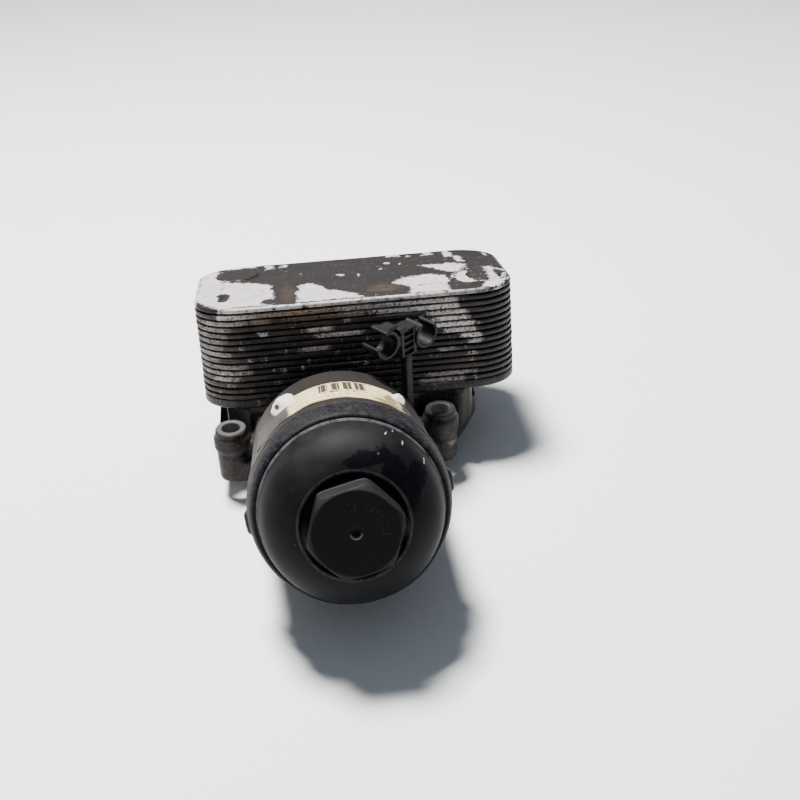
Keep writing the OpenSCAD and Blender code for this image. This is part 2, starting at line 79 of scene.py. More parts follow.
class G:
    def __init__(self, name):
        self.m = bpy.data.materials.new(name)
        self.m.use_nodes = True
        self.nt = self.m.node_tree
        self.nt.nodes.clear()
        out = self.nt.nodes.new("ShaderNodeOutputMaterial")
        self.b = self.nt.nodes.new("ShaderNodeBsdfPrincipled")
        self.nt.links.new(self.b.outputs[0], out.inputs[0])
        tc = self.nt.nodes.new("ShaderNodeTexCoord")
        v = self.nt.nodes.new("ShaderNodeVectorMath")
        v.operation = "SCALE"
        v.inputs["Scale"].default_value = 1000.0
        self.nt.links.new(tc.outputs["Object"], v.inputs[0])
        self.p = E(self, v.outputs[0])
        self.x, self.y, self.z = self.sep(self.p)
        geo = self.nt.nodes.new("ShaderNodeNewGeometry")
        self.n = E(self, geo.outputs["Normal"])

    def put(self, sock, v):
        if isinstance(v, E):
            self.nt.links.new(v.s, sock)
        elif isinstance(v, (tuple, list)):
            sock.default_value = tuple(v) + ((1.0,) if len(v) == 3 and len(sock.default_value) == 4 else ())
        else:
            sock.default_value = v

    def math(self, op, a, b=0.0, clamp=False):
        n = self.nt.nodes.new("ShaderNodeMath")
        n.operation = op
        n.use_clamp = clamp
        self.put(n.inputs[0], a)
        self.put(n.inputs[1], b)
        return E(self, n.outputs[0])

    def sep(self, v):
        n = self.nt.nodes.new("ShaderNodeSeparateXYZ")
        self.put(n.inputs[0], v)
        return tuple(E(self, o) for o in n.outputs)

    def vec(self, x, y, z):
        n = self.nt.nodes.new("ShaderNodeCombineXYZ")
        for s, v in zip(n.inputs, (x, y, z)):
            self.put(s, v)
        return E(self, n.outputs[0])

    def noise(self, size, detail=4.0, rough=0.55, v=None, stretch=None, dist=0.0, color=False):
        v = v or self.p
        if stretch:
            m = self.nt.nodes.new("ShaderNodeVectorMath")
            m.operation = "MULTIPLY"
            self.put(m.inputs[0], v)
            m.inputs[1].default_value = stretch
            v = E(self, m.outputs[0])
        n = self.nt.nodes.new("ShaderNodeTexNoise")
        self.put(n.inputs["Vector"], v)
        n.inputs["Scale"].default_value = 1.0 / size
        n.inputs["Detail"].default_value = detail
        n.inputs["Roughness"].default_value = rough
        n.inputs["Distortion"].default_value = dist
        return E(self, n.outputs["Color" if color else "Fac"])

    def cells(self, size, feature="F1", out="Distance", v=None):
        n = self.nt.nodes.new("ShaderNodeTexVoronoi")
        n.feature = feature
        self.put(n.inputs["Vector"], v or self.p)
        n.inputs["Scale"].default_value = 1.0 / size
        return E(self, n.outputs[out])

    def step(self, x, a, b, lo=0.0, hi=1.0):
        n = self.nt.nodes.new("ShaderNodeMapRange")
        n.interpolation_type = "SMOOTHSTEP"
        self.put(n.inputs["Value"], x)
        n.inputs["From Min"].default_value = a
        n.inputs["From Max"].default_value = b
        n.inputs["To Min"].default_value = lo
        n.inputs["To Max"].default_value = hi
        return E(self, n.outputs["Result"])

    def mix(self, f, a, b):
        n = self.nt.nodes.new("ShaderNodeMix")
        n.data_type = "RGBA"
        self.put(n.inputs[0], f)
        self.put(n.inputs[6], a)
        self.put(n.inputs[7], b)
        return E(self, n.outputs[2])

    def mixf(self, f, a, b):
        n = self.nt.nodes.new("ShaderNodeMix")
        n.data_type = "FLOAT"
        self.put(n.inputs[0], f)
        self.put(n.inputs[2], a)
        self.put(n.inputs[3], b)
        return E(self, n.outputs[0])

    def blob(self, x, y, cx, cy, rx, ry):
        a = (x - cx) * (1.0 / rx)
        b = (y - cy) * (1.0 / ry)
        return 1.0 - self.math("SQRT", a * a + b * b)

    def mx(self, *v):
        r = v[0]
        for o in v[1:]:
            r = self.math("MAXIMUM", r, o)
        return r

    def poly(self, v, pts):
        """distance in mm into a convex outline, positive inside."""
        h = hull2(pts)
        r = None
        for (x1, y1), (x2, y2) in zip(h, h[1:] + h[:1]):
            ln = math.hypot(x2 - x1, y2 - y1)
            nx, ny = -(y2 - y1) / ln, (x2 - x1) / ln
            n = self.nt.nodes.new("ShaderNodeVectorMath")
            n.operation = "DOT_PRODUCT"
            self.put(n.inputs[0], v)
            n.inputs[1].default_value = (nx, ny, 0.0)
            d = E(self, n.outputs["Value"]) - (x1 * nx + y1 * ny)
            r = d if r is None else self.math("MINIMUM", r, d)
        return r

    def ring(self, x, y, cx, cy, r, w):
        """1 on a thin circle, falling to 0 at w from it."""
        a, b = x - cx, y - cy
        d = self.math("ABSOLUTE", self.math("SQRT", a * a + b * b) - r)
        return self.step(d, w, w * 0.35)

    def run(self, x, a, b, soft=1.6):
        return self.step(x, a - soft, a + soft) * self.step(x, b + soft, b - soft)

    def bump(self, h, dist_mm, strength=1.0, normal=None):
        n = self.nt.nodes.new("ShaderNodeBump")
        n.inputs["Strength"].default_value = strength
        n.inputs["Distance"].default_value = dist_mm * 0.001
        self.put(n.inputs["Height"], h)
        if normal:
            self.put(n.inputs["Normal"], normal)
        return E(self, n.outputs[0])

    def done(self, color, rough, metal=0.0, normal=None, spec=0.5, coat=None, coat_rough=0.1):
        self.put(self.b.inputs["Base Color"], color)
        self.put(self.b.inputs["Roughness"], rough)
        self.put(self.b.inputs["Metallic"], metal)
        self.put(self.b.inputs["Specular IOR Level"], spec)
        if normal:
            self.put(self.b.inputs["Normal"], normal)
        if coat is not None:
            self.put(self.b.inputs["Coat Weight"], coat)
            self.b.inputs["Coat Roughness"].default_value = coat_rough
        return self.m


def simple(name, a, b, r0, r1, size=3.0, metal=0.0, bump=0.05, fine=0.5, spec=0.4):
    g = G(name)
    n = g.noise(size, 5, 0.6)
    k = g.noise(fine, 3, 0.6)
    return g.done(g.mix(g.step(n, 0.3, 0.7), a, b), g.mixf(n, r0, r1), metal,
                  g.bump(n * 0.6 + k * 0.4, bump, 0.6), spec)


# ------------------------------------------------------------------ materials
def mat_cap():
    g = G("cap_black")
    x, y, z = g.x, g.y, g.z
    rr = g.math("SQRT", x * x + y * y)
    n1 = g.noise(14, 4, 0.6)
    n2 = g.noise(1.1, 4, 0.65)
    n3 = g.noise(0.35, 2, 0.6)
    n4 = g.noise(4.0, 5, 0.7)
    up = g.sep(g.n)[2]
    col = g.mix(g.step(n1, 0.35, 0.7), (0.0021, 0.0022, 0.0028), (0.0042, 0.0043, 0.0054))
    # the hexagon and the well are the cleanest and darkest
    core = g.step(rr, 19.4, 18.9) * g.step(z, 24.0, 27.0)
    col = g.mix(core * 0.8, col, (0.0016, 0.0017, 0.0021))
    # painted light on the hexagon: its upward sides are painted lighter as a painted highlight, broken up by noise, and
    # lighter still below z 30.4, where the lip's shadow falls, as painted fill light
    hex_side_painted_light = g.step(up, 0.45, 0.70) * core * g.step(z, 26.9, 27.4) * g.step(z, 38.97, 38.90)
    col = g.mix(hex_side_painted_light * (0.45 + n4 * 0.55), col, g.mix(g.step(z, 31.6, 30.4), (0.0150, 0.0142, 0.0150), (0.070, 0.066, 0.070)))
    # a bright painted highlight line along the base of those sides
    col = g.mix(hex_side_painted_light * g.step(z, 27.6, 27.2), col, (0.30, 0.29, 0.30))
    # the lower part of the well, facing away from the light, is painted lighter: painted fill light in its shade
    well_painted_fill = g.run(rr, 12.0, 19.7, 0.2) * g.step(z, 29.9, 29.5) * g.step(y, 4.0, -5.0) * g.step(up, 0.5, 0.3)
    col = g.mix(well_painted_fill, col, (0.085, 0.088, 0.098))
    # grain of the dome
    col = g.mix(g.step(n2, 0.50, 0.74) * 0.35 * (1.0 - core), col, (0.011, 0.011, 0.0125))
    # speckled band outside the dome edge
    band = g.step(rr, 34.7, 35.2) * g.step(z, 12.4, 11.6)
    col = g.mix(band * g.step(n2 + (n4 - 0.5) * 0.5, 0.46, 0.62) * g.step(up, 0.0, 0.55) * 0.9, col, (0.0190, 0.0176, 0.0245))
    band_dirt = g.step(n4, 0.56, 0.68) * band * g.step(up, 0.1, 0.6)
    col = g.mix(band_dirt * 0.6, col, (0.026, 0.023, 0.028))
    # dust on the upward side
    dust = g.step(up, 0.25, 0.95) * g.step(n1 + (n4 - 0.5) * 0.4, 0.30, 0.66) * (1.0 - core)
    col = g.mix(dust * 0.50, col, (0.0150, 0.0147, 0.0152))
    # thin worn line all round, where the dome meets the band
    wear = g.step(n4, 0.34, 0.58)
    ridge = g.run(rr, 34.25, 35.0, 0.22) * g.run(z, 10.9, 12.7, 0.35)
    col = g.mix(ridge * (0.2 + wear * 0.7), col, (0.070, 0.070, 0.074))
    groove = g.run(rr, 35.05, 35.6, 0.2) * g.run(z, 10.2, 11.2, 0.3)
    col = g.mix(groove * 0.7, col, (0.003, 0.003, 0.004))
    # painted highlight on the lip of the well, patchy with the wear noise
    lip = g.run(rr, 19.6, 20.7, 0.35) * g.step(z, 29.6, 30.4)
    col = g.mix(lip * (0.15 + wear * 0.5), col, (0.050, 0.050, 0.052))
    # painted highlight along the chamfer edge of the hexagon face
    edge = g.run(rr, 15.2, 15.9, 0.25) * g.step(z, 38.2, 38.7)
    col = g.mix(edge * 0.25 * g.step(n4, 0.35, 0.6), col, (0.012, 0.012, 0.0135))
    vert = g.step(rr, 17.2, 17.8) * g.step(z, 36.0, 37.2) * core
    col = g.mix(vert * g.step(n4, 0.35, 0.55), col, (0.034, 0.034, 0.036))
    # painted highlight inside the lower half of the centre dimple
    dimple_highlight = g.run(rr, 1.45, 2.2, 0.2) * g.step(y, 0.4, -0.8) * g.step(z, 37.0, 37.6)
    col = g.mix(dimple_highlight, col, (0.085, 0.085, 0.088))
    # oil smear at the upper right, running down beside the hexagon
    wx = x + (g.noise(3.2, 5, 0.7) - 0.5) * 7.0
    wy = y + (g.noise(3.7, 5, 0.7) - 0.5) * 6.0
    oil = g.mx(g.blob(wx, wy, 5.0, 23.4, 8.0, 3.0), g.blob(wx, wy, 15.0, 18.5, 4.6, 6.5), g.blob(wx, wy, 20.0, 10.5, 4.8, 9.0),
               g.blob(wx, wy, 24.0, 15.0, 3.6, 6.0), g.blob(wx, wy, 12.5, 24.0, 3.4, 3.0))
    oil = g.step(oil, 0.0, 0.22) * g.step(z, 12.6, 14.5) * g.step(rr, 20.4, 21.2)
    col = g.mix(oil, col, (0.0008, 0.0009, 0.0024))
    sheen = oil * g.step(g.noise(2.0, 4, 0.7), 0.56, 0.66)
    col = g.mix(sheen * 0.35, col, (0.0060, 0.0064, 0.0130))
    # few bright specks and chips
    c = g.cells(6.5)
    speck = g.step(c, 0.085, 0.055) * g.step(g.noise(11, 1, 0.5), 0.56, 0.64)
    cx, cy = x + (n2 - 0.5) * 1.2, y + (n2 - 0.5) * 1.2
    chips = g.mx(g.blob(cx, cy, 14.1, 29.9, 0.50, 0.26), g.blob(cx, cy, 19.8, 26.0, 0.28, 0.55), g.blob(cx, cy, 27.1, 18.5, 0.28, 1.0),
                 g.blob(cx, cy, 17.0, 29.6, 0.25, 0.2))
    col = g.mix(g.mx(speck * 0.15, g.step(chips, 0.0, 0.35) * g.step(z, 12.0, 13.0)), col, (0.26, 0.26, 0.265))
    rough = g.mixf(oil, 0.62 + (n2 - 0.5) * 0.12 + (n1 - 0.5) * 0.1, 0.50)
    # faint raised marks in an arc on the hexagon face, left as plain bars
    an = g.math("ARCTAN2", y, x) * (180 / math.pi)
    tick = g.step(g.math("ABSOLUTE", g.math("FRACT", an * 0.085) - 0.5), 0.20, 0.16)
    bars = tick * g.run(rr, 9.2, 12.2, 0.25) * g.step(z, 38.3, 38.7) * g.run(an, -14.0, 116.0, 3.0) * g.step(g.noise(1.6, 1, 0.5), 0.46, 0.52)
    col = g.mix(bars * 0.5, col, (0.0090, 0.0090, 0.0100))
    h = n2 * 0.5 + n3 * 0.28 + g.noise(4.5, 3, 0.5) * 0.5
    nb = g.bump(h, 0.11, 0.55)
    nb = g.bump(bars, 0.45, 1.0, nb)
    return g.done(col, rough, 0.0, nb, g.mixf(oil, 0.095, 0.05), oil * 0.04, 0.15)


def mat_housing():
    g = G("housing_moulding")
    x, y, z = g.x, g.y, g.z
    n1 = g.noise(17, 5, 0.62)
    n2 = g.noise(4.0, 5, 0.68)
    n3 = g.noise(0.8, 3, 0.6)
    up = g.sep(g.n)[2]
    black = g.mix(g.step(n2, 0.3, 0.7), (0.0028, 0.0028, 0.0032), (0.0105, 0.0102, 0.0104))
    grey = g.mix(g.step(n2, 0.3, 0.72), (0.0130, 0.0122, 0.0118), (0.038, 0.035, 0.033))
    # the bowl carries a dry film of dust, the flange is dark with patches of it
    s = (y + 136.5) * -0.9455 + (z - 49.2) * 0.3256
    ly = (y + 136.5) * 0.3256 + (z - 49.2) * 0.9455
    rr = g.math("SQRT", x * x + ly * ly)
    bowl = g.step(rr, 39.6, 38.7) * g.step(s, -97.0, -80.0) * g.step(rr, 36.0, 37.5)
    dust = g.step(up, -0.5, 0.9) * 0.9 + g.step(n1, 0.3, 0.75) * 0.45
    film = g.mix(g.step(dust + (n2 - 0.5) * 0.7, 0.30, 1.25), (0.0045, 0.0041, 0.0041), (0.0165, 0.0138, 0.0130))
    left = g.step(x, -14.0, -32.0) * g.step(ly, 37.5, 20.0)
    film = g.mix(left * 0.8 * g.step(n2, 0.2, 0.6), film, (0.055, 0.049, 0.045))
    streak = g.step(g.noise(2.4, 4, 0.6, stretch=(1, 0.22, 0.6)), 0.58, 0.74)
    film = g.mix(streak * 0.40, film, (0.034, 0.030, 0.028))
    right = g.step(x, 20.0, 34.0)
    film = g.mix(right * g.step(n2, 0.35, 0.65) * 0.6, film, (0.0060, 0.0055, 0.0058))
    patch = g.step(n1 + (n2 - 0.5) * 0.8, 0.50, 0.72)
    flange = g.mix(patch * 0.65, black, grey)
    # dusty brown-grey mottling on the webs beside the bosses
    sc = g.step(g.noise(2.2, 6, 0.75), 0.55, 0.66) * g.step(n1, 0.38, 0.58)
    flange = g.mix(sc * 0.75, flange, (0.060, 0.052, 0.046))
    web = g.mx(g.blob(x, y, -44, -62, 16, 14), g.blob(x, y, 46, -58, 16, 14), g.blob(x, y, -52, -46, 14, 14))
    flange = g.mix(g.step(web, 0.0, 0.4) * g.step(n2, 0.36, 0.60) * 0.60, flange, (0.034, 0.029, 0.026))
    # pale lip of the flange near the right boss
    lip = g.run(z, 17.4, 19.6, 0.6) * g.step(x, 46.0, 52.0) * g.step(y, -20.0, -34.0)
    flange = g.mix(lip * g.step(n2, 0.35, 0.55) * 0.7, flange, (0.16, 0.145, 0.135))
    col = g.mix(bowl, flange, film)
    rough = g.mixf(bowl, g.mixf(patch, 0.52, 0.68), 0.66) + (n3 - 0.5) * 0.16
    h = n2 * 0.35 + n3 * 0.35 + g.noise(0.3, 2, 0.5) * 0.2
    return g.done(col, rough, 0.0, g.bump(h, 0.30, 0.7), 0.13)


WHITE = [[(-72, 20), (-60, 2), (-60, 52), (-64, 72), (-70, 66)], [(-62, 2), (-38, 3), (-36, 22), (-38, 38), (-52, 42), (-60, 48)],
         [(-26, 3), (4, 3), (-2, 12), (-8, 16), (-12, 21), (-26, 22)], [(-25, 18), (-12, 21), (-16, 28), (-19, 34), (-24, 32)],
         [(24, 2), (41, 2), (43, 16), (26, 15)], [(18, 21), (26, 15), (43, 16), (43, 28), (38, 33), (30, 31), (24, 30)],
         [(34, 50), (48, 50), (55, 45), (55, 41), (49, 32), (45, 36), (38, 45)], [(62, 12), (66, 12), (66, 38), (63, 38)],
         [(56, 2), (63, 3), (70, 12), (70, 15), (60, 12)], [(52, 52), (55, 52), (55, 62), (52, 62)], [(48, 62), (53, 62), (52, 75), (48, 75)],
         [(-66, 72), (-45, 73), (-45, 76), (-64, 76)], [(-40, 66), (-36, 67), (-36, 74), (-40, 74)], [(-32, 68), (-29, 68), (-29, 74), (-32, 74)],
         [(38, 70), (42, 70), (42, 75), (38, 75)], [(20, 72), (26, 72), (26, 75), (20, 75)]]


def mat_top():
    """grime over bare aluminium on the upper plate; x along, y into the pack, in mm."""
    g = G("cooler_top_coat")
    x, y, z = g.x, g.y, g.z
    big = g.noise(22, 4, 0.6)
    n2 = g.noise(3.5, 6, 0.7)
    n3 = g.noise(0.7, 4, 0.65)
    wx = x + (g.noise(5.5, 5, 0.68) - 0.5) * 7.0
    wy = y + (g.noise(6.1, 5, 0.68) - 0.5) * 7.0
    wv = g.vec(wx, wy, 0.0)
    bare = None
    for pts in WHITE:
        d = g.poly(wv, pts)
        bare = d if bare is None else g.math("MAXIMUM", bare, d)
    # crescent beside the right mark
    cr = g.math("MINIMUM", g.step(g.blob(wx, wy, 52, 22, 5.0, 9.5), 0.0, 0.1) * 3.0 - 1.5,
                g.step(g.blob(wx, wy, 57.5, 22, 6.0, 9.5), 0.1, 0.0) * 3.0 - 1.5)
    bare = g.mx(bare, cr)
    dark = g.mx(g.blob(x, y, -53.5, 59.5, 10.8, 10.8) * 10.0, g.blob(wx, wy, -59, 21, 3.0, 7.6) * 3.0, g.blob(wx, wy, -39, 8, 3.4, 4.6) * 3.0,
                g.poly(wv, [(-34, 5), (-27, 5), (-25, 38), (-35, 40)]) * 0.5)
    frag = g.noise(1.7, 7, 0.82)
    edge = bare + (n2 - 0.5) * 4.0 + (frag - 0.5) * 9.0
    m = g.step(edge, -0.4, 0.6) * g.step(dark + (frag - 0.5) * 1.2, 0.35, 0.0)
    sooty = g.run(edge, -2.2, -0.5, 0.5) * g.step(n2, 0.38, 0.55) * 0.6
    flakes = g.step(g.noise(1.8, 6, 0.78), 0.63, 0.68) * g.step(big, 0.46, 0.60)
    m = g.mx(m, flakes * 0.45)
    bits = g.mx(g.blob(wx, wy, -4.5, 45, 2.2, 4.0), g.blob(wx, wy, 19, 60, 1.4, 3.0), g.blob(wx, wy, 25, 56, 1.2, 2.6), g.blob(wx, wy, 31, 70, 2.0, 3.0),
                g.blob(wx, wy, 4, 42, 1.0, 4.0), g.blob(wx, wy, 68, 62, 1.2, 4.5), g.blob(wx, wy, -22, 21, 3.0, 3.6), g.blob(wx, wy, 15, 50, 1.0, 2.4))
    m = g.mx(m, g.step(bits + (frag - 0.5) * 1.6, 0.25, 0.55) * 0.75)
    # lines worn bright along the front edge and round the marks
    rim = g.mx(g.step(y, 1.7, 0.8), g.step(g.math("ABSOLUTE", x), 70.4, 71.3) * g.step(x, 30.0, -30.0, 0.35, 1.0))
    m = g.mx(m, rim * g.step(n2, 0.34, 0.52) * g.step(x, 62.0, 20.0, 0.4, 1.0))
    arcs = g.mx(g.ring(wx, wy, 58.5, 25, 12.2, 1.0) * g.step(n2, 0.42, 0.55), g.ring(wx, wy, -53.5, 59.5, 11.0, 0.9) * g.step(n2, 0.44, 0.56) * g.step(x - y * 0.2, -58.0, -66.0))
    m = g.mx(m, arcs * 0.85)
    m = g.mx(m, g.step(n3 + (n2 - 0.5) * 0.6, 0.60, 0.68) * g.run(x, 55, 62) * g.run(y, 12, 30) * 0.6)
    grime = g.mix(g.step(n2, 0.3, 0.75), (0.0110, 0.0095, 0.0092), (0.0190, 0.0168, 0.0163))
    grime = g.mix(g.step(big, 0.35, 0.65) * 0.5, grime, (0.0160, 0.0134, 0.0127))
    grime = g.mix(g.step(g.noise(1.2, 5, 0.7), 0.58, 0.72) * 0.35, grime, (0.036, 0.033, 0.032))
    grime = g.mix(sooty, grime, (0.0060, 0.0054, 0.0054))
    alu = g.mix(g.step(n2, 0.3, 0.7), (0.34, 0.32, 0.315), (0.52, 0.50, 0.495))
    alu = g.mix(g.step(n3 + (n2 - 0.5) * 0.4, 0.54, 0.72) * 0.60, alu, (0.145, 0.125, 0.118))
    alu = g.mix(g.step(g.noise(5.0, 6, 0.8), 0.54, 0.62) * g.step(x, 0.0, -30.0) * 0.45, alu, (0.20, 0.185, 0.18))
    col = g.mix(m, grime, alu)
    stain = g.mx(g.step(g.blob(wx, wy, 13.5, 15, 11, 8.5), 0.0, 0.6), g.step(g.blob(wx, wy, -30, 20, 5, 20), 0.0, 0.6) * 0.6)
    col = g.mix(stain * g.step(n2, 0.25, 0.6) * 0.9, col, g.mix(n2, (0.021, 0.0135, 0.0085), (0.060, 0.040, 0.026)))
    black = g.mx(g.ring(wx, wy, -53.5, 59.5, 10.4, 0.9) * g.step(x + y * 0.3, -42.0, -34.0), g.blob(wx, wy, -59.5, 21, 2.0, 6.2))
    col = g.mix(g.step(black, 0.1, 0.5) * 0.85, col, (0.006, 0.0055, 0.0055))
    rough = g.mixf(m, 0.60 + (n3 - 0.5) * 0.2, 0.55)
    h = n3 * 0.5 + n2 * 0.4 - m * 0.35 - g.step(g.blob(x, y, -59, 21, 2.6, 7.0), 0.0, 0.9) * 3.0 + g.noise(30, 2, 0.5) * 2.0
    return g.done(col, rough, m * 0.10, g.bump(h, 0.30, 0.7), 0.14)


# worn runs of the plate rims: row counted from the block, left end, right end, strength, tone (0 tan, 1 brown)
RUNS = [(14, -60, 60, 1.0, 0.0), (13, -62, 45, 0.85, 0.2), (12, 8, 46, 0.9, 0.0), (11, 31, 48, 0.95, 0.0), (10, 33, 49, 1.0, 0.0),
        (9, 34, 51, 1.0, 0.0), (8, 36, 52, 0.9, 0.0), (7, 44, 54, 0.85, 0.0), (6, 49, 56, 0.75, 0.0), (5, 35, 44, 0.3, 0.0), (12, -30, 4, 0.35, 0.3), (10, -22, -12, 0.75, 0.2),
        (9, -20, 2, 0.8, 0.2), (7, -25, -14, 0.6, 0.3), (10, -45, -40, 0.6, 0.0), (12, -46, -38, 0.5, 0.0), (1, 30, 50, 0.28, 0.0),
        (0, 28, 46, 0.28, 0.0), (5, -70, -52, 0.42, 0.5), (4, -68, -50, 0.55, 0.3), (3, -66, -54, 0.5, 0.3), (8, -70, -60, 0.4, 0.6),
        (10, -70, -58, 0.4, 0.6), (6, -72, -63, 0.4, 0.6), (7, -70, -58, 0.5, 0.4), (9, -68, -60, 0.5, 0.6), (11, -70, -56, 0.5, 0.5), (12, -68, -48, 0.55, 0.4)]


def mat_rim():
    """rims of the plate pack: black grime worn through to metal in runs along the plates."""
    g = G("cooler_rim_coat")
    x, y, z = g.x, g.y, g.z
    big = g.noise(20, 4, 0.6)
    n2 = g.noise(3.2, 6, 0.7)
    n3 = g.noise(0.7, 4, 0.65)
    row = g.math("FLOOR", (z - 3.3) * (1 / 2.86))
    front = g.step(y, 26.0, 14.0)
    # each row gets its own shift along x so that the runs do not line up
    cell = g.noise(1.0, 1, 0.5, v=g.vec(x * 0.05, row * 3.7, 0.0))
    fine = g.noise(1.3, 6, 0.80)
    wx = x + (cell - 0.5) * 9.0 + (n2 - 0.5) * 12.0 + (fine - 0.5) * 6.0
    m, brown = 0.0, 0.0
    for r, a, b, k, t in RUNS:
        on = g.step(g.math("ABSOLUTE", row - float(r)), 0.6, 0.4) * g.run(wx, a, b, 1.6)
        m = g.mx(on * k, m)
        if t:
            brown = g.mx(on * t, brown)
    m = m * front
    streak = g.noise(1.0, 5, 0.70, v=g.vec(x * 0.11, y * 0.11, row * 2.1))
    # scattered wear elsewhere and on the sides
    loose = g.step(streak + (fine - 0.5) * 0.45, 0.57, 0.69) * g.mixf(front, 0.80, 0.50) * g.step(x * front, 57.0, 50.0)
    m = g.mx(m * g.step(streak + (fine - 0.5) * 0.9 + m * 0.22, 0.36, 0.60), loose)
    m = m * g.step(fine + (n3 - 0.5) * 0.5, 0.36, 0.54)
    spots = g.step(g.noise(2.6, 6, 0.82), 0.44, 0.36) * g.step(x, 12.0, -20.0)
    m = m * (1.0 - spots * 0.85)
    m = g.mx(m, g.step(n2 + (n3 - 0.5) * 0.5, 0.62, 0.70) * g.run(x, 64, 69) * front * 0.6)
    tone = g.step(big + (cell - 0.5) * 0.6, 0.36, 0.66)
    grime = g.mix(tone, (0.0150, 0.0135, 0.0135), (0.0440, 0.0370, 0.0330))
    blackened = g.mx(g.blob(x, z, -2, 14, 60, 22), g.blob(x, z, 68, 26, 20, 30)) * front
    grime = g.mix(g.step(blackened, 0.0, 0.5) * 0.7, grime, (0.0150, 0.0140, 0.0150))
    grime = g.mix(g.step(fine, 0.54, 0.70) * 0.40, grime, (0.075, 0.064, 0.058))
    grime = g.mix(g.step(g.noise(2.1, 6, 0.8, stretch=(1.0, 1.0, 0.6)), 0.56, 0.66) * g.step(x, 10.0, -30.0) * 0.55, grime, (0.085, 0.056, 0.036))
    leftdust = g.step(x, -48.0, -62.0) * g.step(n2, 0.35, 0.6) * front
    grime = g.mix(leftdust * 0.6, grime, (0.060, 0.047, 0.039))
    grime = g.mix(g.step(fine, 0.50, 0.40) * 0.75, grime, (0.0050, 0.0045, 0.0048))
    alu = g.mix(g.step(n2, 0.25, 0.72), (0.30, 0.27, 0.25), (0.72, 0.69, 0.67))
    alu = g.mix(brown, alu, (0.19, 0.135, 0.095))
    topline = g.step(row, 13.4, 13.6)
    alu = g.mix(topline * 0.6, alu, (0.42, 0.40, 0.385))
    burnt = g.run(wx, -47, -6, 5.0) * g.step(row, 11.4, 11.6) * g.step(row, 13.6, 13.4) * front
    alu = g.mix(burnt * 0.80, alu, (0.175, 0.105, 0.058))
    col = g.mix(m, grime, alu)
    rough = g.mixf(m, 0.52 + (n3 - 0.5) * 0.25, 0.50)
    h = n3 * 0.5 + n2 * 0.4 - m * 0.3
    return g.done(col, rough, m * 0.15, g.bump(h, 0.34, 0.75), 0.16)


def mat_label():
    g = G("label_paper")
    x, y, z = g.x, g.y, g.z
    a = g.math("ARCTAN2", y, x) * (180 / math.pi)
    n1 = g.noise(6, 5, 0.65)
    n2 = g.noise(0.9, 4, 0.6)
    wa = a + (n1 - 0.5) * 12.0
    wz = z + (n1 - 0.5) * 6.0
    col = g.mix(g.step(n1, 0.3, 0.7), (0.46, 0.36, 0.19), (0.70, 0.59, 0.36))
    # plain code bars in four groups and rows of dashes
    zone = g.run(a, 73.5, 101.5, 0.3) * g.run(z, -39.6, -24.6, 0.25)
    bars = g.math("ABSOLUTE", g.math("FRACT", a * 0.31) - 0.5)
    b1 = g.step(bars + (g.noise(1.0, 1, 0.5, v=g.vec(a * 0.9, 0.0, 0.0)) - 0.5) * 0.4, 0.475, 0.44)
    gaps = g.mx(g.run(a, 79.8, 81.6, 0.25), g.run(a, 86.9, 88.9, 0.25), g.run(a, 94.0, 96.0, 0.25))
    ink = b1 * zone * (1.0 - gaps)
    dash = g.step(g.noise(1.0, 2, 0.6, v=g.vec(a * 0.62, 0.0, z * 0.25)), 0.50, 0.54)
    row = g.mx(g.run(z, -23.6, -20.6, 0.2) * g.run(a, 70, 101, 0.5), g.run(z, -17.4, -15.8, 0.2) * g.run(a, 84, 110, 0.5),
               g.run(z, -39.9, -38.7, 0.2) * g.run(a, 68, 92, 0.5))
    ink = g.mx(ink, dash * row * 0.95)
    col = g.mix(ink * 0.95, col, (0.016, 0.014, 0.012))
    wet = g.mx(g.blob(wa, wz, 62, -13, 12, 6), g.blob(wa, wz, 100, -9, 22, 3.2), g.blob(wa, wz, 58, -24, 5, 12))
    col = g.mix(g.step(wet, 0.0, 0.5) * 0.85, col, (0.13, 0.082, 0.030))
    edge = g.mx(g.step(z, -39.5, -41.0), g.step(z, -11.5, -9.5))
    col = g.mix(edge * g.step(n1, 0.42, 0.6) * 0.7, col, (0.20, 0.15, 0.09))
    # grime has covered both ends
    ends = g.mx(g.step(wa, 119.0, 123.0), g.step(wa, 55.0, 50.5))
    col = g.mix(ends, col, g.mix(g.step(n1, 0.3, 0.7), (0.018, 0.0155, 0.0150), (0.050, 0.043, 0.039)))
    spots = g.step(g.noise(1.3, 4, 0.7), 0.66, 0.72)
    col = g.mix(spots * 0.6, col, (0.05, 0.036, 0.022))
    return g.done(col, 0.6 + (n2 - 0.5) * 0.2, 0.0, g.bump(n1 * 0.6 + n2 * 0.4, 0.25, 0.6), 0.25)


def mat_tag():
    g = G("label_white")
    n = g.noise(3, 5, 0.65)
    col = g.mix(g.step(n, 0.3, 0.7), (0.52, 0.50, 0.49), (0.80, 0.78, 0.77))
    col = g.mix(g.step(g.noise(1.2, 5, 0.7), 0.62, 0.72) * 0.6, col, (0.35, 0.28, 0.22))
    return g.done(col, 0.5 + (n - 0.5) * 0.2, 0.0, g.bump(n, 0.2, 0.6), 0.4)


